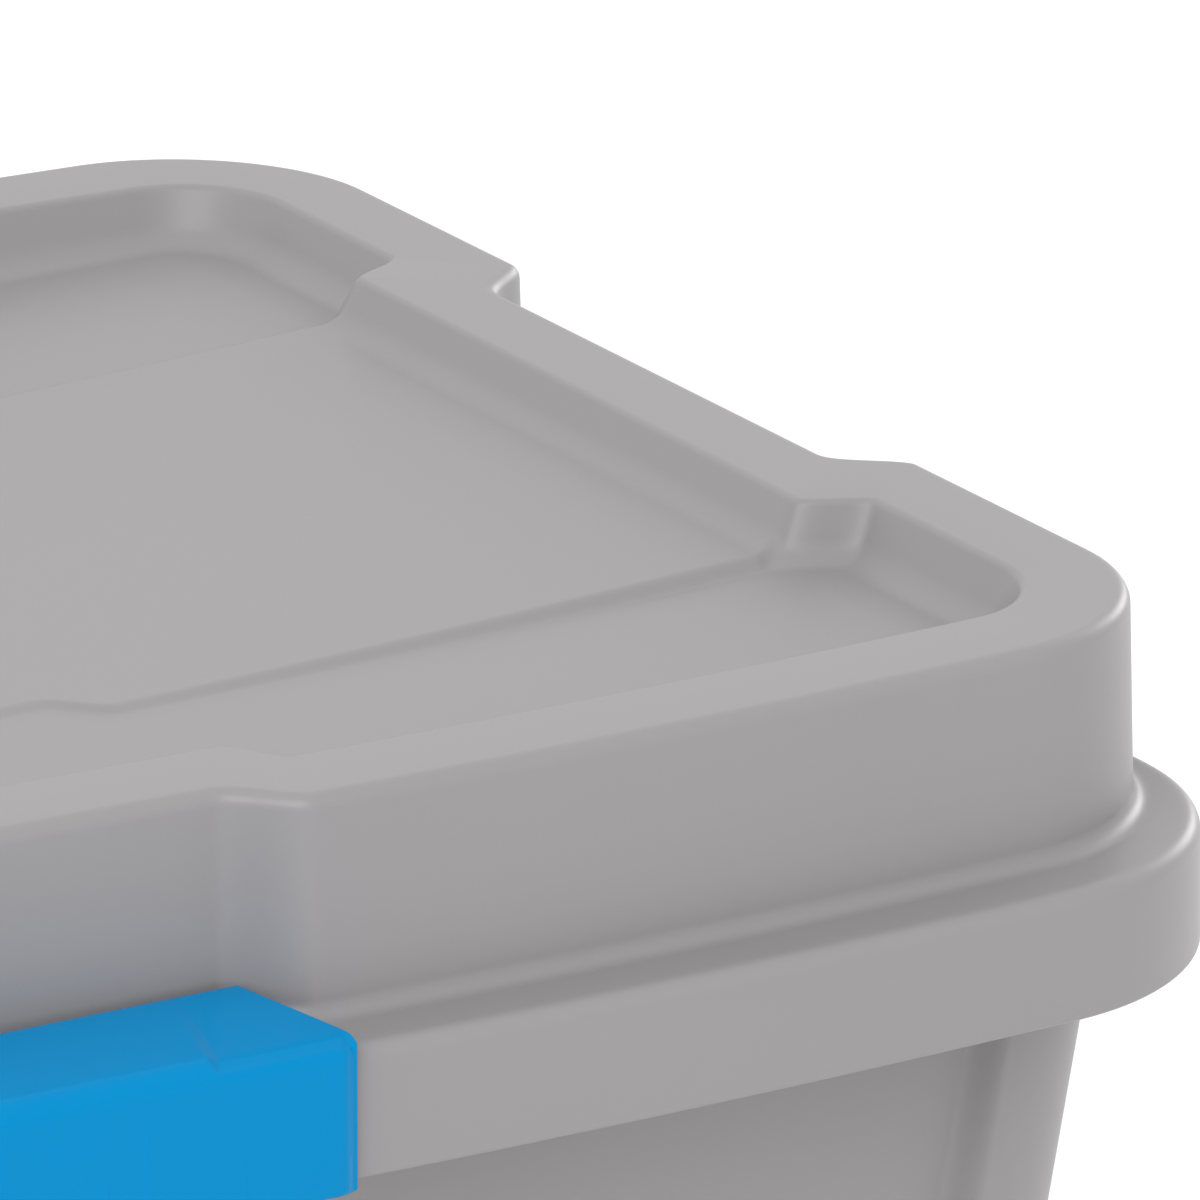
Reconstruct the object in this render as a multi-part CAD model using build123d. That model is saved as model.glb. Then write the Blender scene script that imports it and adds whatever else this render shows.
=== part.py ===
from build123d import *
import math
import os

# Storage tote with a lift-off lid held by four swinging latches, in millimetres.
# The origin is the middle of the base, +X runs along the long side and +Z is up.
os.makedirs("parts", exist_ok=True)

# ---- overall levels ---------------------------------------------------------------
RIM_TOP = 340.0        # highest edge of the lid
RIM_HEIGHT = 41.7      # rim top down to the ledge
SKIRT_HEIGHT = 25.0    # ledge down to the skirt's lower edge
LEDGE = RIM_TOP - RIM_HEIGHT
SKIRT_BOTTOM = LEDGE - SKIRT_HEIGHT

# ---- lid --------------------------------------------------------------------------
RIM_HALF_X = 283.4     # rim outline at the corner, before rounding
RIM_HALF_Y = 177.0
RIM_CORNER = 43.0
BOW = 5.5              # the bend in each half of a long edge stands out this much
BOW_MIDDLE = 4.7       # and the middle of the long edge this much
BOW_ROUND = 300.0
STEP_X = 12.8          # depth of the step in the end walls
STEP_Y = 11.0          # depth of the step in the long walls
STEP_HALF_X = 80.0     # half length of the step in the long walls
STEP_HALF_Y = 67.6     # half length of the step in the end walls
STEP_RUN = 9.0         # length over which a step comes in
STEP_BLEND = 8.0       # rounding of the two bends of a step
LEDGE_X = 9.4          # width of the ledge at the ends
LEDGE_Y = 17.7         # and along the long sides
SKIRT_CORNER = 52.5
LID_WALL = 3.0
RIM_DRAFT = 1.2        # the rim wall's foot stands out this much
SKIRT_DRAFT = 0.3
RIM_ROUND = 3.0        # rounding of the rim's outer top edge

# ---- tray in the lid --------------------------------------------------------------
BAND = 19.5            # width of the flat rim around the tray
TRAY_CORNER = 20.0
TRAY_SLOPE = 9.0       # the tray wall's foot stands in this much
TRAY_BLEND = 6.0       # rounding of the two bends of a step in the tray wall
TRAY_STEP_X = 12.0     # depth of the tray's step at the ends
TRAY_STEP_HALF_X = 90.0  # half length of the tray's step along the long sides
TRAY_STEP_HALF_Y = 84.0  # and at the ends
PANEL_DEPTH = 9.0      # rim top down to the middle panel
POCKET_DEPTH = 11.5    # rim top down to the strips beside the panel
PANEL_HALF_Y = 85.0    # half width of the panel beyond the steps in the long walls

# ---- gasket under the ledge -------------------------------------------------------
SEAL_WIDTH = 5.0
SEAL_HEIGHT = 2.5
SEAL_INSET = 9.5
SEAL_GAP = 0.3

# ---- tub --------------------------------------------------------------------------
TUB_WALL = 3.0
FLOOR = 3.5
WALL_INSET = 21.5      # skirt face in to the tub's corner columns, at the skirt's edge
COLUMN_DEPTH = 6.0     # how far the corner columns stand proud of the sides
COLUMN_LENGTH = 43.0   # rim corner line in to the column's edge
COLUMN_CORNER = 26.0
COLUMN_RUN = 5.0       # length over which a column steps out of the side
COLUMN_BLEND = 3.0     # rounding of the two bends of that step
TUB_LEAN = 6.2         # lean of the tub's sides, degrees
FOOT_HEIGHT = 6.0      # recess under the middle of the base
FOOT_WIDTH = 22.0
FOOT_CORNER = 20.0
FLANGE_CLEARANCE = 1.5
FLANGE_THICKNESS = 3.0
FLANGE_DROP = 15.0     # how far the flange's outer lip hangs down

# ---- latches, written for a latch on a face that looks along -Y --------------------
LATCH_GAP = 0.6        # skirt face to the latch's inner face
LATCH_PLATE = 3.0
LATCH_HOOK_INNER = 6.2   # hook's top surface above the ledge, at the rim wall
LATCH_HOOK_OUTER = 3.9   # and at its outer edge
LATCH_LIFT = 0.5       # hook's lower face above the ledge
LATCH_WALL_GAP = 1.3   # hook's tip to the rim wall's foot
LATCH_CORNER = 8.0
LATCH_TIP_CORNER = 3.0
LATCH_FLARE = 11.0      # the hook is this much wider at its outer edge, each side
PIVOT_IN = 3.0         # pin axis in from the skirt face
PIVOT_DROP = 7.0       # pin axis below the skirt's lower edge
BARREL = 4.5           # radius of the latch's knuckle
PIN = 2.0              # radius of the hinge pin
PIN_RUNNING = 0.08     # radial running clearance in the knuckle
EAR = 5.0              # radius of the ear's eye
EAR_HEEL = 11.0        # the ear reaches this far below the pin axis at the tub's side
EAR_THICKNESS = 5.0
EAR_GAP = 0.4          # between a knuckle and the ear beside it
PIN_SET_IN = 0.5       # the pin's ends lie this far inside the ears
GRIP_DROP = 13.0       # finger tab below the pin axis
EAR_CLEAR = 5.6        # the plate ends this far above the pin axis at the ears

# Half width of the hook, start and end of each knuckle, and half width of the finger tab.
LONG_LATCH = dict(half=75.0, knuckles=(40.0, 60.0), grip=32.0)
END_LATCH = dict(half=59.0, knuckles=(24.0, 40.0), grip=18.0)

# ---- places that follow from the sizes above ----------------------------------------
RIM_GAPS = (STEP_HALF_X, STEP_HALF_Y, STEP_X, STEP_Y)
TRAY_GAPS = (TRAY_STEP_HALF_X, TRAY_STEP_HALF_Y, TRAY_STEP_X, STEP_Y)
PIVOT_Z = SKIRT_BOTTOM - PIVOT_DROP
LONG_FACE = RIM_HALF_Y + LEDGE_Y + BOW_MIDDLE   # skirt face at the middle of a long side
END_FACE = RIM_HALF_X + LEDGE_X
LONG_REACH = LONG_FACE - (RIM_HALF_Y + BOW_MIDDLE - STEP_Y) - RIM_DRAFT - LATCH_WALL_GAP
END_REACH = END_FACE - (RIM_HALF_X - STEP_X) - RIM_DRAFT - LATCH_WALL_GAP

# Each latch: turn about Z from the -Y side, skirt face, hook's reach and sizes.
SIDES = {
    "front": (0, LONG_FACE, LONG_REACH, LONG_LATCH),
    "right": (90, END_FACE, END_REACH, END_LATCH),
    "back": (180, LONG_FACE, LONG_REACH, LONG_LATCH),
    "left": (270, END_FACE, END_REACH, END_LATCH),
}


def plan_points(half_x, half_y, corner, gaps=None, inset=0.0, blend=STEP_BLEND):
    """Corners and rounding radii of one quarter, counter-clockwise from the end side.

    gaps holds (half_x, half_y, step_x, step_y) of the steps in the middle of the sides.
    """
    hx = half_x - inset
    hy = half_y - inset
    bend_x = (half_x + STEP_HALF_X) / 2
    points = []
    if gaps:
        gap_x, gap_y, step_x, step_y = gaps
        shift_x = inset * math.tan(math.atan2(step_x, STEP_RUN) / 2)
        shift_y = inset * math.tan(math.atan2(step_y, STEP_RUN) / 2)
        points.append((hx - step_x, gap_y + shift_x - STEP_RUN / 2, blend))
        points.append((hx, gap_y + shift_x + STEP_RUN / 2, blend))
    points.append((hx, hy, max(corner - inset, 2.0)))
    points.append((bend_x, hy + BOW, BOW_ROUND))
    inner = STEP_HALF_X if not gaps else gap_x + shift_y + STEP_RUN / 2
    edge_y = hy + BOW_MIDDLE
    if gaps:
        points.append((inner, edge_y, blend))
        points.append((inner - STEP_RUN, edge_y - step_y, blend))
    else:
        points.append((inner, edge_y, BOW_ROUND))
    return points


def plan(z, quarter):
    """Closed wire at height z from one quarter's corners, mirrored to all four."""
    corners = four_quarters(quarter)
    points = [(x, y, z) for x, y, radius in corners]
    radii = [radius for x, y, radius in corners]
    return FilletPolyline(*points, radius=radii, close=True).wire()


def four_quarters(quarter):
    """Corners of the quarter with x and y above zero, mirrored to go once around."""
    corners = []
    for sign_x, sign_y, backwards in ((1, 1, False), (-1, 1, True), (-1, -1, False), (1, -1, True)):
        for x, y, *more in (reversed(quarter) if backwards else quarter):
            corners.append((sign_x * x, sign_y * y, *more))
    return corners


def between(low, high):
    """Solid with straight sides between two wires of the same make."""
    return Solid.make_loft([low, high], ruled=True)


def rim_plan(z, inset=0.0):
    """Outline of the lid's raised rim."""
    blend = STEP_BLEND - min(inset, 3.0) / 2
    return plan(z, plan_points(RIM_HALF_X, RIM_HALF_Y, RIM_CORNER, RIM_GAPS, inset=inset, blend=blend))


def skirt_plan(z, inset=0.0):
    """Outline of the lid's skirt, without steps."""
    quarter = plan_points(RIM_HALF_X + LEDGE_X, RIM_HALF_Y + LEDGE_Y, SKIRT_CORNER, inset=inset)
    return plan(z, quarter)


def tray_plan(z, inset=0.0):
    """Outline of the tray inside the rim."""
    half_x = RIM_HALF_X - BAND
    half_y = RIM_HALF_Y - BAND
    return plan(z, plan_points(half_x, half_y, TRAY_CORNER, TRAY_GAPS, inset=inset, blend=TRAY_BLEND))


def column_plan(z, inset=0.0):
    """Outline of the tub: four corner columns with recessed sides between them."""
    half_x = wall_x(z) - inset
    half_y = wall_y(z) - inset
    gap_x = RIM_HALF_X - COLUMN_LENGTH - lean(z)
    gap_y = RIM_HALF_Y - COLUMN_LENGTH - lean(z)
    return plan(z, [
        (half_x - COLUMN_DEPTH, gap_y - COLUMN_RUN / 2, COLUMN_BLEND),
        (half_x, gap_y + COLUMN_RUN / 2, COLUMN_BLEND),
        (half_x, half_y, COLUMN_CORNER - inset),
        (gap_x + COLUMN_RUN / 2, half_y, COLUMN_BLEND),
        (gap_x - COLUMN_RUN / 2, half_y - COLUMN_DEPTH, COLUMN_BLEND),
    ])


def lean(z):
    """How far the tub's sides have come in at height z, from the skirt's edge down."""
    return math.tan(math.radians(TUB_LEAN)) * (SKIRT_BOTTOM - z)


def wall_x(z):
    """Half length of the tub over its corner columns at height z."""
    return RIM_HALF_X + LEDGE_X - WALL_INSET - lean(z)


def wall_y(z):
    """Half width of the tub over its corner columns at height z."""
    return RIM_HALF_Y + LEDGE_Y - WALL_INSET - lean(z)


def make_lid():
    """Lid shell: skirt, ledge and raised rim around a tray with two lower strips."""
    skirt = between(skirt_plan(SKIRT_BOTTOM, -SKIRT_DRAFT), skirt_plan(LEDGE))
    shoulder = RIM_TOP - RIM_ROUND
    rim = between(rim_plan(LEDGE - 1, -RIM_DRAFT), rim_plan(shoulder))
    crown = between(rim_plan(shoulder), rim_plan(RIM_TOP, RIM_ROUND))
    tray = make_tray(0.0)
    under_low = skirt_plan(SKIRT_BOTTOM - 1, LID_WALL - SKIRT_DRAFT)
    under = between(under_low, skirt_plan(LEDGE - LID_WALL, LID_WALL))
    hollow_top = RIM_TOP - LID_WALL
    hollow = between(rim_plan(LEDGE - LID_WALL - 1, LID_WALL - RIM_DRAFT), rim_plan(hollow_top, LID_WALL + 1))
    return skirt + rim + crown - tray - under - (hollow - make_tray(LID_WALL))


def make_tray(skin):
    """Space of the tray, or with skin, that space and the plastic around it."""
    pocket_z = RIM_TOP - POCKET_DEPTH - skin
    slope = TRAY_SLOPE / POCKET_DEPTH
    space = between(tray_plan(pocket_z, TRAY_SLOPE - skin), tray_plan(RIM_TOP + 1, -skin - slope))
    end = RIM_HALF_X
    wide = PANEL_HALF_Y - skin
    narrow = wide - STEP_Y
    step = TRAY_STEP_HALF_X + skin
    corners = four_quarters([(end, wide), (step, wide), (step, narrow)])
    below = 20.0
    panel = extrude(make_face(Polyline(*corners, close=True)), amount=below + POCKET_DEPTH - PANEL_DEPTH)
    return space - Pos(0, 0, pocket_z - below) * panel


def make_seal():
    """Gasket ring glued under the lid's ledge."""
    top = LEDGE - LID_WALL
    low = top - SEAL_HEIGHT
    outer = between(skirt_plan(low, SEAL_INSET), skirt_plan(top, SEAL_INSET))
    inner = between(skirt_plan(low, SEAL_INSET + SEAL_WIDTH), skirt_plan(top, SEAL_INSET + SEAL_WIDTH))
    return outer - inner


def make_tub_shell():
    """Open box with corner columns, a flange round the top and a raised base."""
    flange_top = LEDGE - LID_WALL - SEAL_HEIGHT - SEAL_GAP
    flange_low = flange_top - FLANGE_THICKNESS
    body = between(column_plan(0), column_plan(flange_low))
    edge = LID_WALL + FLANGE_CLEARANCE
    flange = between(skirt_plan(flange_low, edge), skirt_plan(flange_top, edge))
    lip_low = flange_top - FLANGE_DROP
    lip = between(skirt_plan(lip_low, edge), skirt_plan(flange_low, edge))
    lip -= between(skirt_plan(lip_low, edge + TUB_WALL), skirt_plan(flange_low, edge + TUB_WALL))
    inside = between(column_plan(FLOOR + FOOT_HEIGHT, TUB_WALL), column_plan(flange_top + 1, TUB_WALL))
    base_x = 2 * (wall_x(0) - COLUMN_DEPTH - FOOT_WIDTH)
    base_y = 2 * (wall_y(0) - COLUMN_DEPTH - FOOT_WIDTH)
    recess = extrude(RectangleRounded(base_x, base_y, FOOT_CORNER), FOOT_HEIGHT)
    return body + flange + lip - inside - recess


def place(turn, face, shape):
    """Move a shape from the latch's own frame (pin axis at the origin) to its side."""
    return Rot(0, 0, turn) * Pos(0, PIVOT_IN - face, PIVOT_Z) * shape


def rod(radius, start, end):
    """Cylinder along X from start to end."""
    return Pos((start + end) / 2, 0, 0) * Rot(0, 90, 0) * Cylinder(radius, end - start)


def slab(x0, x1, y0, y1, z0, z1):
    """Block between two corners."""
    return Pos((x0 + x1) / 2, (y0 + y1) / 2, (z0 + z1) / 2) * Box(x1 - x0, y1 - y0, z1 - z0)


def make_latch(reach, half, knuckles, grip):
    """Latch in its own frame: pin axis along X through the origin, outwards along -Y."""
    inner = -PIVOT_IN - LATCH_GAP
    outer = inner - LATCH_PLATE
    ledge = PIVOT_DROP + SKIRT_HEIGHT
    tip = -PIVOT_IN + reach
    wide = half + LATCH_FLARE
    profile = Polyline(
        (0, outer, -GRIP_DROP),
        (0, inner, -GRIP_DROP),
        (0, inner, ledge + LATCH_LIFT),
        (0, tip, ledge + LATCH_LIFT),
        (0, tip, ledge + LATCH_HOOK_INNER),
        (0, outer, ledge + LATCH_HOOK_OUTER),
        close=True,
    )
    plate = extrude(make_face(profile), amount=wide, dir=(1, 0, 0), both=True)
    outline = FilletPolyline(
        (-wide, outer), (wide, outer), (half, tip), (-half, tip),
        radius=[LATCH_CORNER, LATCH_CORNER, LATCH_TIP_CORNER, LATCH_TIP_CORNER], close=True,
    )
    plate &= extrude(make_face(outline), amount=2 * ledge, both=True)
    low = -GRIP_DROP - 1
    for side in (1, -1):
        for start, end in ((grip, knuckles[0]), (knuckles[1], wide + 1)):
            x0, x1 = sorted((side * start, side * end))
            plate -= slab(x0, x1, outer - 1, inner + 1, low, EAR_CLEAR)
        x0, x1 = sorted((side * knuckles[0], side * knuckles[1]))
        plate -= slab(x0, x1, outer - 1, inner + 1, low, 0)
        plate += rod(BARREL, x0, x1)
        plate += slab(x0, x1, outer, 0, 0, BARREL)
        plate -= rod(PIN + PIN_RUNNING, x0 - 1, x1 + 1)
    return plate


def ear_spans(knuckles):
    """Start and end of each ear along the pin, on one side of the latch's middle."""
    inner_end = knuckles[0] - EAR_GAP
    outer_start = knuckles[1] + EAR_GAP
    return ((inner_end - EAR_THICKNESS, inner_end), (outer_start, outer_start + EAR_THICKNESS))


def make_ears(face, wall, knuckles):
    """Ears of one latch's hinge, from the tub's recessed side out to the pin."""
    depth = face - PIVOT_IN - wall(PIVOT_Z) + COLUMN_DEPTH + TUB_WALL - 1
    ears = None
    for side in (1, -1):
        for start, end in ear_spans(knuckles):
            x0, x1 = sorted((side * start, side * end))
            corners = [(x0, 0, EAR), (x0, depth, EAR), (x0, depth, -EAR_HEEL), (x0, 0, -EAR)]
            web = make_face(Polyline(*corners, close=True))
            ear = extrude(web, amount=x1 - x0, dir=(1, 0, 0)) + rod(EAR, x0, x1)
            ear -= rod(PIN, x0 - 1, x1 + 1)
            ears = ear if ears is None else ears + ear
    return ears


def make_pins(knuckles):
    """The two hinge pins of one latch."""
    spans = ear_spans(knuckles)
    start = spans[0][0] + PIN_SET_IN
    end = spans[1][1] - PIN_SET_IN
    return [rod(PIN, start, end), rod(PIN, -end, -start)]


tub = make_tub_shell()
latches = {}
pins = {}
for name, (turn, face, reach, sizes) in SIDES.items():
    wall = wall_y if name in ("front", "back") else wall_x
    tub += place(turn, face, make_ears(face, wall, sizes["knuckles"]))
    latches[name] = place(turn, face, make_latch(reach, **sizes))
    pins[name] = Compound(children=[place(turn, face, pin) for pin in make_pins(sizes["knuckles"])])

export_step(tub, "parts/tub.step")
export_step(make_lid(), "parts/lid.step")
export_step(make_seal(), "parts/lid_seal.step")
for name in SIDES:
    export_step(latches[name], f"parts/latch_{name}.step")
    export_step(pins[name], f"parts/hinge_pins_{name}.step")
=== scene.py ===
import math

import bmesh
import bpy
import numpy as np
from mathutils import Matrix, Vector


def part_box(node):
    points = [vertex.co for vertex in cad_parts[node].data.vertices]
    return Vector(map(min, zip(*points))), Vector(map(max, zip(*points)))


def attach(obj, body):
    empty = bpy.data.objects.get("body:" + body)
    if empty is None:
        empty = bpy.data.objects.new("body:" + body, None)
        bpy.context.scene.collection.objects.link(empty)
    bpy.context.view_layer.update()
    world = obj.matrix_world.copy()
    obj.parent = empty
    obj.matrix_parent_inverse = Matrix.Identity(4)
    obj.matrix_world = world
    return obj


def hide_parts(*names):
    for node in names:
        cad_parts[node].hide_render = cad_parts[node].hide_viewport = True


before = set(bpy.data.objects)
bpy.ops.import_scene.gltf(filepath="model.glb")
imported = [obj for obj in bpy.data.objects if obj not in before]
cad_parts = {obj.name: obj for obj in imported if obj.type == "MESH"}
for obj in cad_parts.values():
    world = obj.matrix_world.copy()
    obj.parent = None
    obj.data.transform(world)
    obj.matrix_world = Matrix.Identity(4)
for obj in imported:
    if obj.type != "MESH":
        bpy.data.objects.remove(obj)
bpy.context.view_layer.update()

# Numbers are in millimetres up to the materials; meshes are scaled to metres as they are made.
MM = 0.001

# ---- levels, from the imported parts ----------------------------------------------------
LID_LOW, LID_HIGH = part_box("lid")
SEAL_LOW, SEAL_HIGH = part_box("lid_seal")
TOP = LID_HIGH[2] / MM
SKIRT_BOTTOM = LID_LOW[2] / MM
LID_WALL = 3.0
SEAL_GAP = 0.3                         # between the gasket and the tub's flange
LEDGE = SEAL_HIGH[2] / MM + LID_WALL
FLANGE_TOP = SEAL_LOW[2] / MM - SEAL_GAP

# ---- lid outlines ---------------------------------------------------------------------
RIM_X, RIM_Y, RIM_R = 283.4, 177.0, 43.0
SKIRT_X, SKIRT_Y, SKIRT_R = 292.8, 194.7, 52.5
TRAY_X, TRAY_Y, TRAY_R = 264.5, 156.2, 22.0
BOW_END, BOW_HALF_X = 281.3, 93.0      # the long edges' bow runs out here, and bends here
BOW_MIDDLE, BOW_RISE = 2.9, 1.8        # it stands out this much at x = 0, and more at the bend
BOW_BEND = BOW_MIDDLE + BOW_RISE
BOW_FALL, BOW_CURVE = 0.0753, 2.67e-4  # slope and curvature from its end inwards
BOW_JOIN_X, BOW_JOIN = 80.0, 26.0      # the two stretches blend from here, over this length
STEP_X, STEP_Y = 12.8, 11.0            # depths of the steps in the end and long sides
STEP_HALF_X, STEP_HALF_Y = 80.0, 67.6  # where the rim steps, along X and along Y
TRAY_STEP_HALF_X, TRAY_STEP_HALF_Y = 90.0, 85.5
STEP_RUN, TRAY_RUN = 15.0, 9.0         # lengths of the rim's steps and of the tray wall's
RIM_DRAFT, SKIRT_DRAFT = 1.2, 0.3
RIM_ROUND, LEDGE_ROUND, SKIRT_ROUND = 3.0, 3.6, 0.9
RIM_FLAT = 3.1                         # the flat top starts this far inside the rim's outline
LEDGE_OUT, LEDGE_IN = 5.2, 4.2         # and the ledge lies between these offsets from rim and skirt
SKIRT_EDGE = 1.0                       # the skirt's lower edge has its seam this far from its inner face
UNDER_LEDGE_OUT = 2.0                  # the ledge's underside starts this far outside the rim
INNER_ROUND, INNER_LEDGE_ROUND, INNER_SKIRT_ROUND = 2.0, 1.5, 0.7

# ---- tray -----------------------------------------------------------------------------
TRAY_WALL_SLOPE = math.radians(60)
TRAY_TOP_ROUND, TRAY_FOOT_ROUND = 2.2, 8.5
TRAY_WALL_DEPTH = 10.5
TRAY_ARC = 8                           # points in each of the wall's two arcs
FOOT_IN = 11.3                         # the tray wall's foot stands in this much
FOOT_SHIFT = 5.0                       # and its steps lie this much further out
FOOT_CORNER = 14.0
POCKET_DEPTH, POCKET_DISH = 11.3, 4.6
PANEL_DEPTH, PANEL_DISH = 8.7, 6.6
DISH_HALF_X = 245.0
PANEL_HALF_Y = 85.0
PANEL_STEP_HALF_X, PANEL_STEP_Y, PANEL_RUN = 96.0, 10.0, 12.0
PANEL_EDGE = 4.0

# ---- tub ------------------------------------------------------------------------------
WALL_INSET = 21.5
COLUMN_LENGTH = 43.0
COLUMN_DEPTH = 6.0
COLUMN_R = 26.0
TUB_LEAN = math.tan(math.radians(6.2))
TUB_WALL = 3.0
COLUMN_RUN, COLUMN_DENSE = 6.0, 17     # length of the step beside a column, and stations on it
LEAST_R = 3.0                          # no inner corner gets sharper than this
RECESS_LOW, RECESS_FADE = 6.0, 9.0     # the side recess runs out above the base, over this height
FLOOR_TOP, FLOOR_R = 9.5, 7.0
FOOT_HEIGHT, FOOT_WIDTH = 6.0, 22.0    # the base stands on a band along its edge
BASE_R = 4.0
FLANGE_THICK = 3.0
LIP_DROP, LIP_ROUND = 15.0, 0.6
LIP_INNER, LIP_OUTER = -7.5, -4.5      # faces of the hanging lip, from the skirt's outline

# ---- latches, in their own frame: pin axis along X at the origin, outwards along -Y -----
PIVOT_IN, PIVOT_DROP = 3.0, 7.0
PIVOT_Z = SKIRT_BOTTOM - PIVOT_DROP
LATCH_GAP, LATCH_THICK = 0.6, 3.0
LATCH_INNER = -PIVOT_IN - LATCH_GAP
LATCH_OUTER = LATCH_INNER - LATCH_THICK
HOOK_LOW = LEDGE - PIVOT_Z + 0.5       # the hook clears the ledge by half a millimetre
HOOK_INNER, HOOK_OUTER = HOOK_LOW + 5.7, HOOK_LOW + 3.4
TIP_GAP = 1.3                          # between the hook's tip and the rim
LONG_FACE = SKIRT_Y + BOW_BEND
LONG_REACH = LONG_FACE - (RIM_Y + BOW_BEND - STEP_Y) - RIM_DRAFT - TIP_GAP
END_REACH = SKIRT_X - (RIM_X - STEP_X) - RIM_DRAFT - TIP_GAP
BARREL, PIN, BORE_GAP = 4.5, 2.0, 0.08
EAR, EAR_THICK, EAR_GAP, EAR_ROUND = 5.0, 5.0, 0.4, 0.5
EAR_HEEL = 2.2                         # the ear's lower corner, in ear radii below the pin
EAR_BITE = 1.0                         # the ear's root stops short of the wall's inner face
FLARE, PLAN_CORNER = 11.0, 4.5         # the hook widens outwards, to rounded corners
SIDE_ROUND, SIDE_SHRINK = 0.8, 0.5     # the latch's ends draw in over this length, by this much
PAD_IN, PAD_SLANT, PAD_DROP = 12.0, 0.29, 1.3
PAD_BLEND, PAD_SKIN = 2.4, 0.8         # length of the pad's fold, and what stays of the hook below it
FOLD_ROUND, TIP_ROUND, PLATE_ROUND = 5.0, 1.4, 1.3
HOOK_ROUND, TIP_LOW_ROUND = 1.4, 0.8
TAB_LOW, PLATE_LOW, KNUCKLE_LOW = -13.0, 5.7, 0.4   # lower edges, from the pin's axis
TAB_RUN, KNUCKLE_RUN = 1.6, 0.6        # the lower edge changes height over these lengths


# ---- outlines ---------------------------------------------------------------------------
DENSE_REACH = 12.0
ARC = 14                       # stations in half a corner
LONG_STATIONS = (20, 24, 26)   # stations before, around and after a step in a long side
END_STATIONS = (14, 40, 12)    # and in an end side


def smooth(t):
    """0 below 0, 1 above 1 and an S-curve between."""
    t = np.clip(t, 0.0, 1.0)
    return t * t * (3 - 2 * t)


def bow(x):
    """How far the long edges stand out at x."""
    x = np.abs(x)
    d = BOW_END - x
    outer = BOW_FALL * d - BOW_CURVE * d * d
    middle = BOW_MIDDLE + BOW_RISE * (x / BOW_HALF_X) ** 2
    share = smooth((x - BOW_JOIN_X) / BOW_JOIN)
    return middle * (1 - share) + outer * share


def spaced(middle, end, low_count, dense_count, end_count):
    """Stations from 0 to end, close together around middle."""
    dense_from, dense_to = middle - DENSE_REACH, middle + DENSE_REACH
    low = np.linspace(0, dense_from, low_count, endpoint=False)
    dense = np.linspace(dense_from, dense_to, dense_count, endpoint=False)
    return np.concatenate([low, dense, np.linspace(dense_to, end, end_count)])


def ring(hx, hy, r, dense, step=None, shift=0.0):
    """Closed outline as (N, 2) points: front, right, back and left sides in turn.

    dense is (x, y) of the closely spaced stations, and step is (half_x, half_y, depth_x,
    depth_y, run) of the steps in the sides' middles; shift moves both outwards.
    """
    xs = spaced(dense[0] + shift, hx - r, *LONG_STATIONS)
    ys = spaced(dense[1] + shift, hy - r, *END_STATIONS)
    arc = np.linspace(0, math.pi / 4, ARC + 1)[1:]
    long_x = np.concatenate([xs, hx - r + r * np.sin(arc)])
    long_y = np.concatenate([np.full(len(xs), hy), hy - r + r * np.cos(arc)])
    end_y = np.concatenate([ys, hy - r + r * np.sin(arc)])
    end_x = np.concatenate([np.full(len(ys), hx), hx - r + r * np.cos(arc)])
    long_y = long_y + bow(long_x) * np.clip((long_y - hy + r) / r, 0, 1)
    end_y = end_y + bow(end_x) * np.clip((end_y - hy + r) / r, 0, 1)
    if step:
        half_x, half_y, depth_x, depth_y, run = step
        long_y = long_y - depth_y * (1 - smooth((long_x - half_x - shift) / run + 0.5))
        end_x = end_x - depth_x * (1 - smooth((end_y - half_y - shift) / run + 0.5))
    return around(long_x, long_y, end_x, end_y)


def around(long_x, long_y, end_x, end_y):
    """Ring from the quarter's long side (x from 0) and end side (y from 0)."""
    front = np.stack([mirrored(long_x, -1), -mirrored(long_y, 1)], 1)
    right = np.stack([mirrored(end_x, 1), mirrored(end_y, -1)], 1)
    return np.concatenate([front[:-1], right[:-1], -front[:-1], -right[:-1]])


def mirrored(values, sign):
    """Values of one half, then the whole side, from its far end to its near end."""
    return np.concatenate([sign * values[:0:-1], values])


def normals(points):
    """Outward unit normals of a ring."""
    t = np.roll(points, -1, 0) - np.roll(points, 1, 0)
    n = np.stack([t[:, 1], -t[:, 0]], 1)
    return n / np.linalg.norm(n, axis=1)[:, None]


def rounded(corners, arc_points=5):
    """Path through (u, v, radius) corners, with an arc at each corner that has a radius."""
    path = []
    for i, (u, v, r) in enumerate(corners):
        here = np.array([u, v])
        if r <= 0 or i in (0, len(corners) - 1):
            path.append(here)
            continue
        a = np.array(corners[i - 1][:2]) - here
        b = np.array(corners[i + 1][:2]) - here
        a, b = a / np.linalg.norm(a), b / np.linalg.norm(b)
        path += list(arc_between(here, a, b, r, arc_points))
    return path


def arc_between(here, a, b, r, count):
    """Arc of radius r that rounds the corner between unit directions a and b."""
    half = math.acos(max(-1.0, min(1.0, float(a @ b)))) / 2
    if half > math.pi / 2 - 1e-3:
        return [here] * (count + 1)
    reach = r / math.tan(half)
    middle = (a + b) / np.linalg.norm(a + b)
    centre = here + middle * (r / math.sin(half))
    start = here + a * reach - centre
    turn = math.pi - 2 * half
    sign = 1.0 if start[0] * (here - centre)[1] - start[1] * (here - centre)[0] > 0 else -1.0
    points = []
    for k in range(count + 1):
        angle = sign * turn * k / count
        c, s = math.cos(angle), math.sin(angle)
        points.append(centre + np.array([c * start[0] - s * start[1], s * start[0] + c * start[1]]))
    return points


# ---- mesh building ----------------------------------------------------------------------
WELD = 1e-7                    # metres
SHARP = math.radians(38)       # edges that turn more than this are shaded sharp


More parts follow.
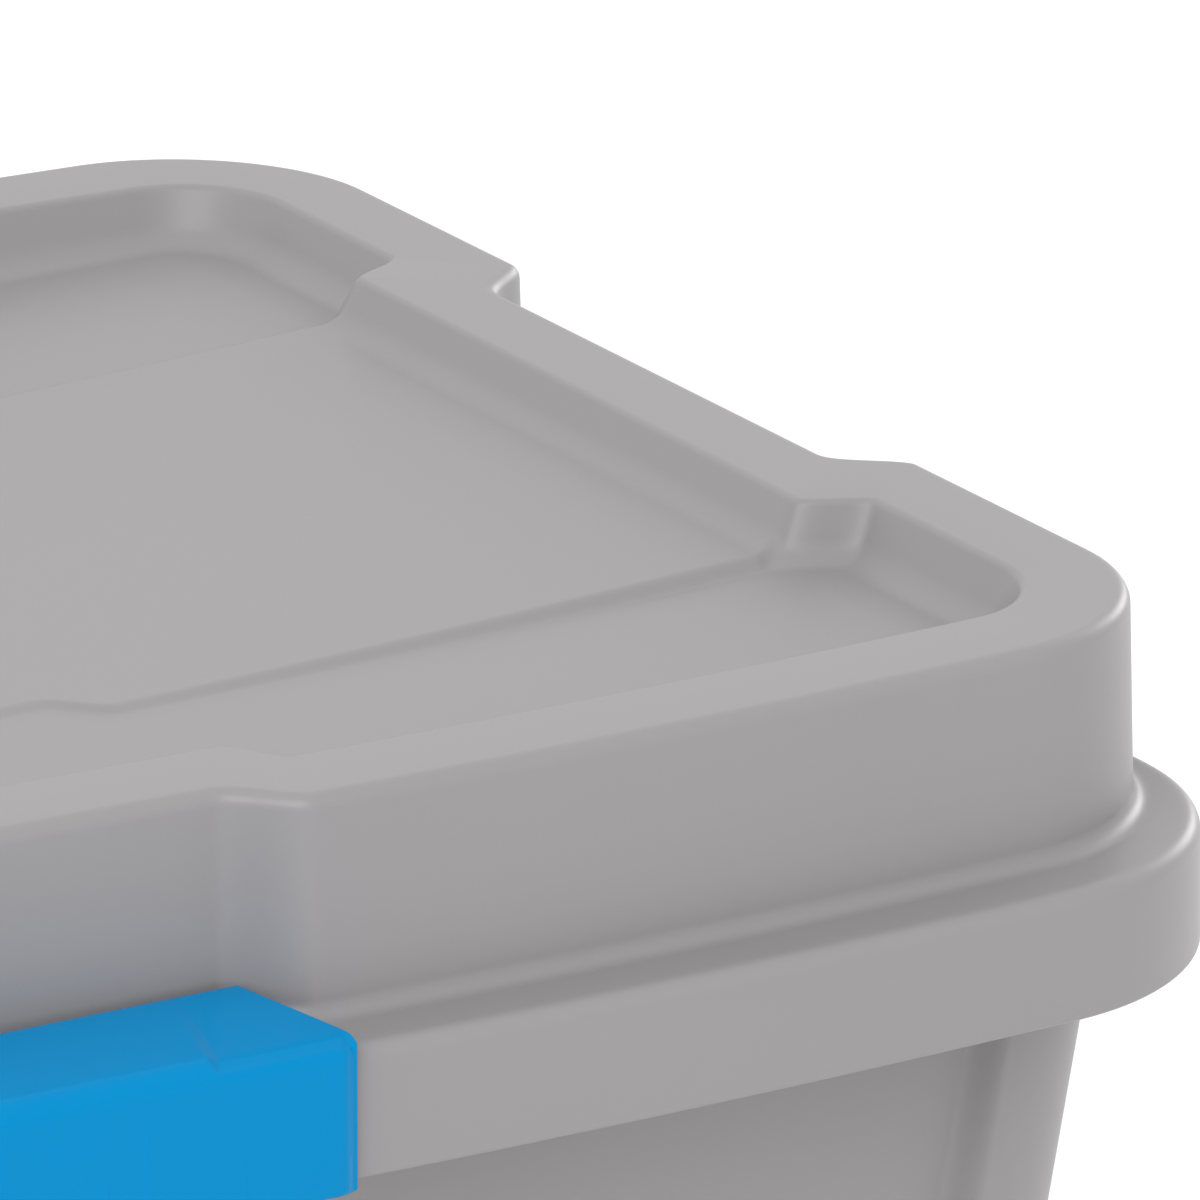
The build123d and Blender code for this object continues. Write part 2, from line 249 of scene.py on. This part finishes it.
class Shell:
    """Vertices and faces of one piece, gathered ring by ring in millimetres."""

    def __init__(self):
        self.points = []
        self.faces = []

    def add(self, points):
        """Adds (n, 3) points and returns their first index."""
        first = sum(len(p) for p in self.points)
        self.points.append(np.asarray(points, float))
        return first

    def loft(self, rings):
        """Closed rings of equal length joined by quads; returns the first and last index."""
        starts = [self.add(points) for points in rings]
        for a, b in zip(starts, starts[1:]):
            self.bridge(a, b, len(rings[0]))
        return starts[0], starts[-1]

    def bridge(self, a, b, count):
        """Quads between two rings that are already there."""
        for i in range(count):
            j = (i + 1) % count
            self.faces.append((a + i, a + j, b + j, b + i))

    def close(self, start, count):
        """One flat face over a ring."""
        self.faces.append(tuple(range(start, start + count)))

    def cap(self, start, height, straighten=None):
        """Fills a ring with a grid whose rows join opposite sides.

        height(x, y) gives z, and straighten(points, right) may move the grid's points in plan.
        """
        nx, ny = LONG_COUNT, END_COUNT
        everything = np.concatenate(self.points)
        loop = everything[start:start + 2 * (nx + ny), :2]
        front = loop[: nx + 1]
        right = loop[nx: nx + ny + 1]
        back = loop[nx + ny: 2 * nx + ny + 1][::-1]
        left = np.concatenate([loop[2 * nx + ny:], loop[:1]])[::-1]
        u = ((front[:, 0] - front[0, 0]) / (front[-1, 0] - front[0, 0]))[:, None, None]
        v = ((right[:, 1] - right[0, 1]) / (right[-1, 1] - right[0, 1]))[None, :, None]
        points = (1 - v) * front[:, None] + v * back[:, None] + (1 - u) * left[None] + u * right[None]
        points = points - (1 - u) * (1 - v) * front[0] - u * (1 - v) * front[-1]
        points = points - (1 - u) * v * back[0] - u * v * back[-1]
        if straighten:
            points = straighten(points, right)
        inner = points[1:nx, 1:ny].reshape(-1, 2)
        grid = np.full((nx + 1, ny + 1), -1)
        grid[:, 0] = start + np.arange(nx + 1)
        grid[nx, :] = start + nx + np.arange(ny + 1)
        grid[:, ny] = start + nx + ny + np.arange(nx + 1)[::-1]
        grid[0, 1:] = (start + 2 * nx + ny + np.arange(ny))[::-1]
        first = self.add(np.column_stack([inner, height(inner[:, 0], inner[:, 1])]))
        grid[1:nx, 1:ny] = first + np.arange((nx - 1) * (ny - 1)).reshape(nx - 1, ny - 1)
        for i in range(nx):
            for j in range(ny):
                self.faces.append((grid[i, j], grid[i + 1, j], grid[i + 1, j + 1], grid[i, j + 1]))

    def tube(self, x0, x1, outer, inner, segments=40, soften=0.5):
        """Closed sleeve around the X axis from x0 to x1."""
        profile = [
            (x0, inner), (x0, outer - soften), (x0 + soften, outer),
            (x1 - soften, outer), (x1, outer - soften), (x1, inner),
        ]
        turn = np.linspace(0, 2 * math.pi, segments, endpoint=False)
        rings = []
        for x, r in profile:
            rings.append(np.stack([np.full(segments, x), r * np.cos(turn), r * np.sin(turn)], 1))
        first, last = self.loft(rings)
        self.bridge(last, first, segments)

    def build(self, name, transform=None):
        """The piece as a smooth-shaded object in metres."""
        mesh = bpy.data.meshes.new(name)
        points = np.concatenate(self.points) * MM
        mesh.from_pydata([tuple(p) for p in points], [], [tuple(int(i) for i in f) for f in self.faces])
        if transform is not None:
            mesh.transform(transform)
        bm = bmesh.new()
        bm.from_mesh(mesh)
        bmesh.ops.remove_doubles(bm, verts=bm.verts, dist=WELD)
        bmesh.ops.recalc_face_normals(bm, faces=bm.faces)
        bm.to_mesh(mesh)
        bm.free()
        mesh.shade_smooth()
        mesh.set_sharp_from_angle(angle=SHARP)
        piece = bpy.data.objects.new(name, mesh)
        bpy.context.scene.collection.objects.link(piece)
        return piece


def level(points, z):
    """Ring points at height z, which may be one number or one for each point."""
    return np.column_stack([points, np.broadcast_to(z, len(points))])


# ---- lid ----------------------------------------------------------------------------------
RIM_STEP = (STEP_HALF_X, STEP_HALF_Y, STEP_X, STEP_Y, STEP_RUN)
TRAY_STEP = (TRAY_STEP_HALF_X, TRAY_STEP_HALF_Y, STEP_X, STEP_Y, TRAY_RUN)
RIM_DENSE = (STEP_HALF_X, STEP_HALF_Y)
TRAY_DENSE = (TRAY_STEP_HALF_X, TRAY_STEP_HALF_Y)
RIM = ring(RIM_X, RIM_Y, RIM_R, RIM_DENSE, RIM_STEP)
SKIRT = ring(SKIRT_X, SKIRT_Y, SKIRT_R, RIM_DENSE)
TRAY = ring(TRAY_X, TRAY_Y, TRAY_R, TRAY_DENSE, TRAY_STEP)
FOOT = ring(TRAY_X - FOOT_IN, TRAY_Y - FOOT_IN, FOOT_CORNER, TRAY_DENSE, TRAY_STEP, FOOT_SHIFT)
RIM_N, SKIRT_N = normals(RIM), normals(SKIRT)
LONG_COUNT = 2 * (sum(LONG_STATIONS) + ARC - 1)
END_COUNT = 2 * (sum(END_STATIONS) + ARC - 1)


def panel_half_y(x):
    """Half width of the tray's middle panel at x; it narrows beside the long steps."""
    return PANEL_HALF_Y - PANEL_STEP_Y * (1 - smooth((np.abs(x) - PANEL_STEP_HALF_X) / PANEL_RUN + 0.5))


def along_panel(points, right):
    """Moves the floor grid's rows beside the panel so that they follow its edge."""
    rows = right[:, 1]
    near = np.where(np.abs(np.abs(rows) - PANEL_HALF_Y) < PANEL_EDGE)[0]
    middle = len(rows) // 2
    known = np.concatenate([[0], near[near < middle], [middle], near[near > middle], [len(rows) - 1]])
    for column in points[1:-1]:
        narrow = PANEL_HALF_Y - panel_half_y(column[near, 0])
        wanted = rows[near] - np.sign(rows[near]) * narrow
        moves = wanted - column[near, 1]
        moves = np.concatenate([[0], moves[near < middle], [0], moves[near > middle], [0]])
        column[:, 1] += np.interp(np.arange(len(rows)), known, moves)
    return points


def tray_depth(x, y):
    """Depth of the tray's floor under the rim's top."""
    sag = 1 - np.clip(np.abs(x) / DISH_HALF_X, 0, 1) ** 2
    pocket = POCKET_DEPTH + POCKET_DISH * sag
    panel = PANEL_DEPTH + PANEL_DISH * sag
    share = smooth((panel_half_y(x) - np.abs(y)) / PANEL_EDGE + 0.5)
    return pocket + (panel - pocket) * share


def tray_profile():
    """Points down the tray's wall: share of its inset, share of its depth, and slope angle."""
    wall, top_r, foot_r = TRAY_WALL_SLOPE, TRAY_TOP_ROUND, TRAY_FOOT_ROUND
    straight = TRAY_WALL_DEPTH - (top_r + foot_r) * (1 - math.cos(wall))
    points = []
    for a in np.linspace(0, wall, TRAY_ARC):
        points.append((top_r * math.sin(a), top_r * (1 - math.cos(a)), a))
    u, d = points[-1][:2]
    u, d = u + straight / math.tan(wall), d + straight
    for a in np.linspace(wall, 0, TRAY_ARC):
        du = foot_r * (math.sin(wall) - math.sin(a))
        dd = foot_r * (math.cos(a) - math.cos(wall))
        points.append((u + du, d + dd, a))
    reach = points[-1][0]
    return [(u / reach, d / TRAY_WALL_DEPTH, a) for u, d, a in points]


def offset_rings(base, base_normals, path):
    """A ring for each (offset, z) of a path, moved out along the base ring's normals."""
    return [level(base + base_normals * offset, z) for offset, z in path]


def make_lid():
    """The lid as one closed shell, from the skirt over the rim into the tray and back under."""
    shell = Shell()
    # outside, from the skirt's lower edge up to the rim's flat top
    skirt = rounded([
        (SKIRT_EDGE - LID_WALL, SKIRT_BOTTOM, 0), (SKIRT_DRAFT, SKIRT_BOTTOM, SKIRT_ROUND),
        (0.0, LEDGE, LEDGE_ROUND), (-LEDGE_IN, LEDGE, 0),
    ], 6)
    rim = rounded([
        (LEDGE_OUT, LEDGE, 0), (RIM_DRAFT, LEDGE, LEDGE_ROUND), (0.0, TOP, RIM_ROUND), (-RIM_FLAT, TOP, 0),
    ], 7)
    rings = offset_rings(SKIRT, SKIRT_N, skirt) + offset_rings(RIM, RIM_N, rim)
    # the tray's wall; its foot follows the dished floor
    profile = tray_profile()
    depth = tray_depth(FOOT[:, 0], FOOT[:, 1])
    for run, share, slope in profile:
        rings.append(level(TRAY + (FOOT - TRAY) * run, TOP - depth * share))
    first, last = shell.loft(rings)
    shell.cap(last, lambda x, y: TOP - tray_depth(x, y), along_panel)

    # underneath, the same surfaces moved in by the wall
    under_skirt = rounded([
        (SKIRT_EDGE - LID_WALL, SKIRT_BOTTOM, 0), (SKIRT_DRAFT - LID_WALL, SKIRT_BOTTOM, INNER_SKIRT_ROUND),
        (-LID_WALL, LEDGE - LID_WALL, INNER_LEDGE_ROUND), (-2 * LID_WALL, LEDGE - LID_WALL, 0),
    ])
    under_rim = rounded([
        (UNDER_LEDGE_OUT, LEDGE - LID_WALL, 0), (RIM_DRAFT - LID_WALL, LEDGE - LID_WALL, INNER_ROUND),
        (-LID_WALL, TOP - LID_WALL, INNER_ROUND), (-2 * LID_WALL, TOP - LID_WALL, 0),
    ])
    rings = offset_rings(SKIRT, SKIRT_N, under_skirt) + offset_rings(RIM, RIM_N, under_rim)
    for run, share, slope in profile:
        out = LID_WALL * math.sin(slope) / FOOT_IN
        height = TOP - depth * share - LID_WALL * math.cos(slope)
        rings.append(level(TRAY + (FOOT - TRAY) * (run - out), height))
    under_first, under_last = shell.loft(rings)
    shell.cap(under_last, lambda x, y: TOP - LID_WALL - tray_depth(x, y), along_panel)
    shell.bridge(first, under_first, len(RIM))
    return shell.build("lid_shell")


# ---- tub ----------------------------------------------------------------------------------
def tub_ring(z, inset=0.0, recess=COLUMN_DEPTH):
    """Outline of the tub at height z: corner columns with recessed sides between them."""
    lean = TUB_LEAN * (SKIRT_BOTTOM - z)
    hx = SKIRT_X - WALL_INSET - lean - inset
    hy = SKIRT_Y - WALL_INSET - lean - inset
    r = max(COLUMN_R - inset, LEAST_R)
    gap_x = RIM_X - COLUMN_LENGTH - lean
    gap_y = RIM_Y - COLUMN_LENGTH - lean
    xs = tub_stations(gap_x, hx - r, sum(LONG_STATIONS))
    ys = tub_stations(gap_y, hy - r, sum(END_STATIONS))
    arc = np.linspace(0, math.pi / 4, ARC + 1)[1:]
    long_x = np.concatenate([xs, hx - r + r * np.sin(arc)])
    long_y = np.concatenate([np.full(len(xs), hy), hy - r + r * np.cos(arc)])
    end_y = np.concatenate([ys, hy - r + r * np.sin(arc)])
    end_x = np.concatenate([np.full(len(ys), hx), hx - r + r * np.cos(arc)])
    long_y = long_y - recess * (1 - smooth((long_x - gap_x) / COLUMN_RUN + 0.5))
    end_x = end_x - recess * (1 - smooth((end_y - gap_y) / COLUMN_RUN + 0.5))
    return around(long_x, long_y, end_x, end_y)


def tub_stations(gap, end, count):
    """Stations from 0 to end, close together where the column begins."""
    reach = 4.0
    low = np.linspace(0, gap - reach, count - COLUMN_DENSE - 2, endpoint=False)
    dense = np.linspace(gap - reach, min(gap + reach, end - 1), COLUMN_DENSE)
    return np.concatenate([low, dense, [end - 0.5, end]])


def tub_recess(z):
    """Depth of the side recess at height z; it runs out above the base."""
    return COLUMN_DEPTH * float(smooth((z - RECESS_LOW) / RECESS_FADE))


def foot_rings():
    """Rings of the base: its raised middle, the band that it stands on and its rounded edge."""
    rings = []
    for inset, z in ((FOOT_WIDTH + 1.5, FOOT_HEIGHT), (FOOT_WIDTH, FOOT_HEIGHT), (FOOT_WIDTH - 1, 0.8),
                     (FOOT_WIDTH - 1.8, 0.0)):
        rings.append(level(tub_ring(0, inset + COLUMN_DEPTH, 0.0), z))
    rings.append(level(tub_ring(0, BASE_R, 0.0), 0.0))
    for a in np.radians((70, 50, 30, 10)):
        rings.append(level(tub_ring(0, BASE_R * (1 - math.cos(a)), 0.0), BASE_R * (1 - math.sin(a))))
    return rings


def flange_rings(low):
    """Rings of the flange, from its underside round the hanging lip to its top."""
    inner, outer, bottom, r = LIP_INNER, LIP_OUTER, FLANGE_TOP - LIP_DROP, LIP_ROUND
    return offset_rings(SKIRT, SKIRT_N, [
        (inner - 1.5, low), (inner - 0.3, low - 0.5), (inner, low - 1.6),
        (inner, bottom + r), (inner + r, bottom), (outer - r, bottom), (outer, bottom + r),
        (outer, FLANGE_TOP - 2.0), (outer - r, FLANGE_TOP - r), (outer - 2.0, FLANGE_TOP),
    ])


def wall_ring(z, inset=0.0):
    """Ring of the tub's wall at height z, with the recess that belongs there."""
    return level(tub_ring(z, inset, tub_recess(z)), z)


def make_tub():
    """The tub as one closed shell, with the ears of the latch hinges."""
    shell = Shell()
    low = FLANGE_TOP - FLANGE_THICK
    outside = [*np.arange(BASE_R + 0.5, 18, 1.5), *np.arange(24, 268, 12.0), 272, 278, 284, low - 3]
    inside = [*np.arange(280, 20, -13.0), FLOOR_TOP + FLOOR_R]

    rings = foot_rings()
    rings += [wall_ring(z) for z in outside]
    rings += [wall_ring(low - 0.8, -0.5), wall_ring(low, -2.2)]
    rings += flange_rings(low)
    for inset, drop in ((TUB_WALL - 1.8, 0.0), (TUB_WALL - 0.5, 0.4)):
        rings.append(level(tub_ring(FLANGE_TOP, inset), FLANGE_TOP - drop))
    rings.append(level(tub_ring(FLANGE_TOP - 2, TUB_WALL), FLANGE_TOP - 2))
    rings += [wall_ring(z, TUB_WALL) for z in inside]
    for a in np.radians((20, 45, 70, 90)):
        z = FLOOR_TOP + FLOOR_R * (1 - math.sin(a))
        inset = TUB_WALL + FLOOR_R * (1 - math.cos(a))
        rings.append(level(tub_ring(z, inset, tub_recess(z + RECESS_LOW)), z))
    first, last = shell.loft(rings)
    shell.cap(last, lambda x, y: np.full(len(x), FLOOR_TOP))
    shell.cap(first, lambda x, y: np.full(len(x), FOOT_HEIGHT))
    for side in SIDES.values():
        add_ears(shell, side)
    return shell.build("tub_shell")


# ---- latches --------------------------------------------------------------------------------
# half: half the hook's width at its tip; knuckle: where one starts and ends; grip: half the finger tab
LONG_SIDE = dict(face=LONG_FACE, bow=BOW_BEND, reach=LONG_REACH, half=75.0, knuckle=(40.0, 60.0), grip=32.0)
END_SIDE = dict(face=SKIRT_X, bow=0.0, reach=END_REACH, half=59.0, knuckle=(24.0, 40.0), grip=18.0)
SIDES = {
    "front": dict(turn=0, **LONG_SIDE),
    "right": dict(turn=90, **END_SIDE),
    "back": dict(turn=180, **LONG_SIDE),
    "left": dict(turn=270, **END_SIDE),
}


def placed(side):
    """Matrix from a latch's own frame, in metres, to its side of the tote."""
    turn = Matrix.Rotation(math.radians(side["turn"]), 4, "Z")
    return turn @ Matrix.Translation((0, (PIVOT_IN - side["face"]) * MM, PIVOT_Z * MM))


def add_ears(shell, side):
    """The four ears of one latch's hinge, reaching from the tub's side to the pin."""
    matrix = placed(side)
    to_wall = WALL_INSET + TUB_LEAN * PIVOT_DROP + COLUMN_DEPTH + TUB_WALL
    depth = side["bow"] - PIVOT_IN + to_wall - EAR_BITE
    round_end = np.linspace(math.radians(90), math.radians(270), 17)
    outline = [(EAR * math.cos(a), EAR * math.sin(a)) for a in round_end]
    outline = np.array(outline + [(depth, -EAR * EAR_HEEL), (depth, EAR)])
    inwards = outline.mean(0) - outline
    inwards /= np.linalg.norm(inwards, axis=1)[:, None]
    inner, outer = side["knuckle"]
    for sign in (1, -1):
        for start in (inner - EAR_GAP - EAR_THICK, outer + EAR_GAP):
            end = start + EAR_THICK
            sections = ((start, EAR_ROUND), (start + EAR_ROUND, 0), (end - EAR_ROUND, 0), (end, EAR_ROUND))
            rings = []
            for x, inset in sections:
                shape = outline + inwards * inset
                points = np.column_stack([np.full(len(shape), sign * x), shape])
                rings.append(np.array([tuple(matrix @ Vector(p * MM) / MM) for p in points]))
            for start_ring in shell.loft(rings):
                shell.close(start_ring, len(outline))


def latch_section(x, half, tip, bottom, shrink, outer_in):
    """Closed (y, z) outline of a latch at x: hook over the ledge, fold, plate down the skirt."""
    outer = LATCH_OUTER + outer_in + shrink
    inner = LATCH_INNER - shrink
    slope = (HOOK_INNER - HOOK_OUTER) / (tip - LATCH_OUTER)
    edge = tip - max(0.0, x - half) / FLARE * (tip - LATCH_OUTER) - shrink
    top_out = HOOK_OUTER + slope * outer_in - shrink
    top_in = HOOK_OUTER + slope * (edge - LATCH_OUTER) - shrink
    # the rounds shrink where there is little room for them
    plate_r = min(PLATE_ROUND, (inner - outer) * 0.42)
    fold_r = min(FOLD_ROUND, (edge - outer) * 0.68)
    tip_r = min(TIP_ROUND, (edge - outer) * 0.25)
    corners = [
        (edge, top_in, tip_r, 5),
        (outer, top_out, fold_r, 9),
        (outer, bottom + shrink, plate_r, 4),
        (inner, bottom + shrink, plate_r, 4),
        (inner, HOOK_LOW + shrink, HOOK_ROUND, 4),
        (edge, HOOK_LOW + shrink, TIP_LOW_ROUND, 3),
    ]
    path = []
    for i, (y, z, r, count) in enumerate(corners):
        here = np.array([y, z])
        a = np.array(corners[i - 1][:2]) - here
        b = np.array(corners[(i + 1) % len(corners)][:2]) - here
        a, b = a / np.linalg.norm(a), b / np.linalg.norm(b)
        path += list(arc_between(here, a, b, r, count))
        if i == 0:
            start, stop = path[-1], np.array([outer + fold_r, top_out + slope * fold_r])
            path += [start + (stop - start) * t for t in np.linspace(0, 1, 14)[1:-1]]
    path = np.array(path)
    # the middle pad stands proud of the sides, more so towards the outer edge
    outwards = (tip - path[:, 0]) / (tip - LATCH_OUTER)
    fold = half - PAD_IN - PAD_SLANT * (tip - path[:, 0])
    drop = PAD_DROP * outwards * smooth((x - fold) / PAD_BLEND + 0.5)
    path[:, 1] -= drop * smooth((path[:, 1] - HOOK_LOW - PAD_SKIN) / PAD_BLEND)
    return path


def plate_bottom(x, inner, outer, grip):
    """Height of the plate's lower edge at x: finger tab, ear cut-outs and knuckles."""
    value = TAB_LOW
    for start, run, after in ((grip - TAB_RUN, TAB_RUN, PLATE_LOW), (inner, KNUCKLE_RUN, KNUCKLE_LOW),
                              (outer - KNUCKLE_RUN, KNUCKLE_RUN, PLATE_LOW)):
        value += (after - value) * float(smooth((x - start) / run))
    return value


def latch_stations(side, centre, last_x):
    """Places across half a latch where it gets a section, close together where its shape changes."""
    half, grip = side["half"], side["grip"]
    inner, outer = side["knuckle"]
    stations = [0.0, *np.arange(3.0, last_x, 3.0), *np.arange(half - PAD_IN - 14, half - PAD_IN + 4, 0.6)]
    for edge in (grip - TAB_RUN, grip - 0.1, inner + 0.1, outer - KNUCKLE_RUN):
        stations += list(np.linspace(edge, edge + TAB_RUN, 6))
    stations += [half - 0.6, half, half + 0.6, *np.linspace(centre - 0.5, last_x, 9)]
    stations = sorted(set(round(float(x), 2) for x in stations if x <= last_x))
    return [x for x in stations if x < last_x - 0.05]


def make_latch(name, side):
    """One swing latch: hook, front plate with a finger tab, and two knuckles."""
    half, tip = side["half"], side["reach"] - PIVOT_IN
    inner, outer = side["knuckle"]
    side_slope = math.atan2(FLARE, tip - LATCH_OUTER)
    centre = half + FLARE - PLAN_CORNER * (math.tan(side_slope) + 1 / math.cos(side_slope))
    last_x = centre + PLAN_CORNER - SIDE_ROUND
    right = [(x, 0.0) for x in latch_stations(side, centre, last_x)]
    for a in np.linspace(0, math.pi / 2, 6):
        right.append((last_x + SIDE_ROUND * math.sin(a), SIDE_SHRINK * (1 - math.cos(a))))

    shell = Shell()
    rings = []
    for x, shrink in [(-x, shrink) for x, shrink in right[:0:-1]] + right:
        over = min(max(0.0, abs(x) - centre), PLAN_CORNER)
        outer_in = min(PLAN_CORNER - math.sqrt(PLAN_CORNER ** 2 - over ** 2), TIP_ROUND)
        bottom = plate_bottom(abs(x), inner, outer, side["grip"])
        outline = latch_section(abs(x), half, tip, bottom, shrink, outer_in)
        rings.append(np.column_stack([np.full(len(outline), x), outline]))
    for start in shell.loft(rings):
        shell.close(start, len(rings[0]))
    for sign in (1, -1):
        x0, x1 = sorted((sign * (inner + 0.02), sign * (outer - 0.02)))
        shell.tube(x0, x1, BARREL, PIN + BORE_GAP)
    return shell.build("latch_shell_" + name, placed(side))


# ---- materials ------------------------------------------------------------------------------
CLOUD_SHARE = 0.8
ROUGH_LEAST, ROUGH_MOST = 0.9, 1.12
PLASTIC_GREY = (0.277, 0.266, 0.271)
PLASTIC_BLUE = (0.0, 0.232, 0.52)
RUBBER_BLACK = (0.03, 0.03, 0.032)
PIN_GREY = (0.55, 0.55, 0.54)


def node(tree, kind, **inputs):
    """New shader node with its input values set by name."""
    made = tree.nodes.new(kind)
    for key, value in inputs.items():
        made.inputs[key.replace("_", " ")].default_value = value
    return made


def moulded(name, colour, rough, variation, grain_mm, grain_depth, specular=0.5):
    """Moulded plastic: fine texture, faint cloudy colour and uneven gloss.

    variation is how far the colour strays, and the grain's size and depth are in millimetres.
    """
    material = bpy.data.materials.new(name)
    material.use_nodes = True
    tree = material.node_tree
    shader = tree.nodes["Principled BSDF"]
    shader.inputs["Specular IOR Level"].default_value = specular
    place = tree.nodes.new("ShaderNodeTexCoord")
    cloud = node(tree, "ShaderNodeTexNoise", Scale=9.0, Detail=4.0, Roughness=0.55)
    speck = node(tree, "ShaderNodeTexNoise", Scale=900.0, Detail=2.0, Roughness=0.5)
    grain = node(tree, "ShaderNodeTexNoise", Scale=1000.0 / grain_mm, Detail=3.0, Roughness=0.6)
    for texture in (cloud, speck, grain):
        tree.links.new(place.outputs["Object"], texture.inputs["Vector"])
    ramp = tree.nodes.new("ShaderNodeValToRGB")
    for stop, position, factor in zip(ramp.color_ramp.elements, (0.3, 0.7), (1 - variation, 1 + variation)):
        stop.position = position
        stop.color = (*[min(1.0, c * factor) for c in colour], 1)
    # mostly cloud, with a little fine speck
    scaled = tree.nodes.new("ShaderNodeMath")
    scaled.operation = "MULTIPLY"
    scaled.inputs[1].default_value = 1 - CLOUD_SHARE
    tree.links.new(speck.outputs["Fac"], scaled.inputs[0])
    blend = tree.nodes.new("ShaderNodeMath")
    blend.operation = "MULTIPLY_ADD"
    blend.inputs[1].default_value = CLOUD_SHARE
    tree.links.new(cloud.outputs["Fac"], blend.inputs[0])
    tree.links.new(scaled.outputs[0], blend.inputs[2])
    tree.links.new(blend.outputs[0], ramp.inputs["Fac"])
    tree.links.new(ramp.outputs["Color"], shader.inputs["Base Color"])
    gloss = tree.nodes.new("ShaderNodeMapRange")
    gloss.inputs["To Min"].default_value = rough * ROUGH_LEAST
    gloss.inputs["To Max"].default_value = rough * ROUGH_MOST
    tree.links.new(cloud.outputs["Fac"], gloss.inputs["Value"])
    tree.links.new(gloss.outputs["Result"], shader.inputs["Roughness"])
    bump = node(tree, "ShaderNodeBump", Strength=0.6, Distance=grain_depth * MM)
    tree.links.new(grain.outputs["Fac"], bump.inputs["Height"])
    tree.links.new(bump.outputs["Normal"], shader.inputs["Normal"])
    return material


def steel(name):
    """Bare steel with a fine grain."""
    material = moulded(name, PIN_GREY, rough=0.3, variation=0.06, grain_mm=0.25, grain_depth=0.01)
    material.node_tree.nodes["Principled BSDF"].inputs["Metallic"].default_value = 1.0
    return material


GREY = moulded("moulded_grey", PLASTIC_GREY, 0.38, variation=0.02, grain_mm=0.45, grain_depth=0.012)
TUB_GREY = moulded("moulded_grey_tub", PLASTIC_GREY, 0.41, variation=0.02, grain_mm=0.45, grain_depth=0.014)
BLUE = moulded("gloss_blue", PLASTIC_BLUE, 0.12, variation=0.03, grain_mm=1.2, grain_depth=0.003,
               specular=0.07)
RUBBER = moulded("black_rubber", RUBBER_BLACK, 0.7, variation=0.12, grain_mm=0.3, grain_depth=0.03,
                 specular=0.35)
STEEL = steel("pin_steel")


def dress(piece, material, body, replaced):
    """Gives a piece its material and body, and hides the CAD node that it stands for."""
    piece.data.materials.clear()
    piece.data.materials.append(material)
    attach(piece, body)
    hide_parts(replaced)


dress(make_lid(), GREY, "lid", "lid")
dress(make_tub(), TUB_GREY, "tub", "tub")
for name, side in SIDES.items():
    dress(make_latch(name, side), BLUE, "latch_" + name, "latch_" + name)
for name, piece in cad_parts.items():
    if name.startswith("hinge_pins") or name == "lid_seal":
        piece.data.materials.clear()
        piece.data.materials.append(RUBBER if name == "lid_seal" else STEEL)


# ---- floor, light and camera, in metres and degrees -------------------------------------------
FLOOR_HALF = 14.0
KEY_PLACE, KEY_SIZE, KEY_WATTS = (-2.6, -2.3, 3.4), 3.0, 80
SIDE_PLACE, SIDE_SIZE, SIDE_WATTS = (3.6, 1.6, 1.2), 1.2, 28
LIGHT_AIM = (0.15, 0, 0.3)
LENS, SENSOR = 421.4, 36.0             # millimetres
CAMERA_X, CAMERA_Y, CAMERA_ABOVE_LID = -1.0985, -2.2192, 0.8331
YAW, PITCH, ROLL = 31.42, 18.66, 0.168


def make_floor():
    """Large pale floor under the tote."""
    size = FLOOR_HALF
    mesh = bpy.data.meshes.new("floor")
    corners = [(-size, -size, 0), (size, -size, 0), (size, size, 0), (-size, size, 0)]
    mesh.from_pydata(corners, [], [(0, 1, 2, 3)])
    floor = bpy.data.objects.new("floor", mesh)
    bpy.context.scene.collection.objects.link(floor)
    material = bpy.data.materials.new("pale_floor")
    material.use_nodes = True
    shader = material.node_tree.nodes["Principled BSDF"]
    shader.inputs["Base Color"].default_value = (0.93, 0.93, 0.93, 1)
    shader.inputs["Roughness"].default_value = 0.8
    shader.inputs["Specular IOR Level"].default_value = 0.2
    mesh.materials.append(material)


def soft_light(name, place, size, watts):
    """Square area light at place, facing the lid's right-hand end."""
    data = bpy.data.lights.new(name, "AREA")
    data.shape = "SQUARE"
    data.size = size
    data.energy = watts
    light = bpy.data.objects.new(name, data)
    light.location = place
    light.rotation_euler = (Vector(LIGHT_AIM) - Vector(place)).to_track_quat("-Z", "Y").to_euler()
    bpy.context.scene.collection.objects.link(light)


def make_world():
    """Even white surroundings."""
    world = bpy.data.worlds.new("studio")
    world.use_nodes = True
    world.node_tree.nodes["Background"].inputs["Color"].default_value = (1, 1, 1, 1)
    world.node_tree.nodes["Background"].inputs["Strength"].default_value = 1.0
    bpy.context.scene.world = world


def make_camera():
    """Long lens aimed at the right-hand end of the lid, as in a product close-up."""
    data = bpy.data.cameras.new("camera")
    data.sensor_width = SENSOR
    data.lens = LENS
    data.clip_end = 100.0
    camera = bpy.data.objects.new("camera", data)
    yaw, pitch, roll = math.radians(YAW), math.radians(PITCH), math.radians(ROLL)
    forward = Vector((math.sin(yaw) * math.cos(pitch), math.cos(yaw) * math.cos(pitch), -math.sin(pitch)))
    right = Vector((math.cos(yaw), -math.sin(yaw), 0))
    up = right.cross(forward)
    turned_right = right * math.cos(roll) + up * math.sin(roll)
    turned_up = up * math.cos(roll) - right * math.sin(roll)
    matrix = Matrix((turned_right, turned_up, -forward)).transposed().to_4x4()
    matrix.translation = (CAMERA_X, CAMERA_Y, CAMERA_ABOVE_LID + TOP * MM)
    camera.matrix_world = matrix
    bpy.context.scene.collection.objects.link(camera)
    bpy.context.scene.camera = camera


make_floor()
make_world()
soft_light("key", KEY_PLACE, KEY_SIZE, KEY_WATTS)
soft_light("side", SIDE_PLACE, SIDE_SIZE, SIDE_WATTS)
make_camera()
bpy.context.scene.view_settings.view_transform = "Standard"
